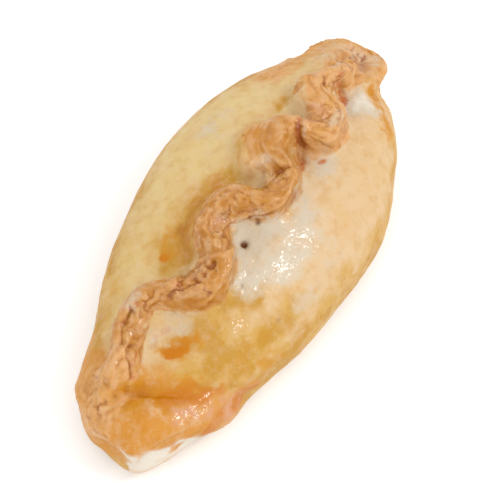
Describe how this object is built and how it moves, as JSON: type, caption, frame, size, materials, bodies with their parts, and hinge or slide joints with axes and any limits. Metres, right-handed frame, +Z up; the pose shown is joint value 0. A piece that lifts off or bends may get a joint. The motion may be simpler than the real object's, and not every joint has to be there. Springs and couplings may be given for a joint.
{
  "type": "cornish pasty",
  "caption": "Whole baked pasty with a domed case, a flat base and a seam fluted from side to side along its top, ending in a flat pinched tail.",
  "frame": {"origin": "middle of the bounding box in plan, on the flat base", "axes": "+X runs along the pasty towards the end with the flat pinched tail, +Y towards the far flank, the one away from the vent hole, and +Z up"},
  "size_m": [0.1916, 0.0884, 0.0561],
  "materials": {
    "pastry": "egg-washed baked pastry, satin, browned along the seam and paler on the flanks"
  },
  "bodies": {
    "root": {"pasty": "pastry"}
  },
  "joints": []
}
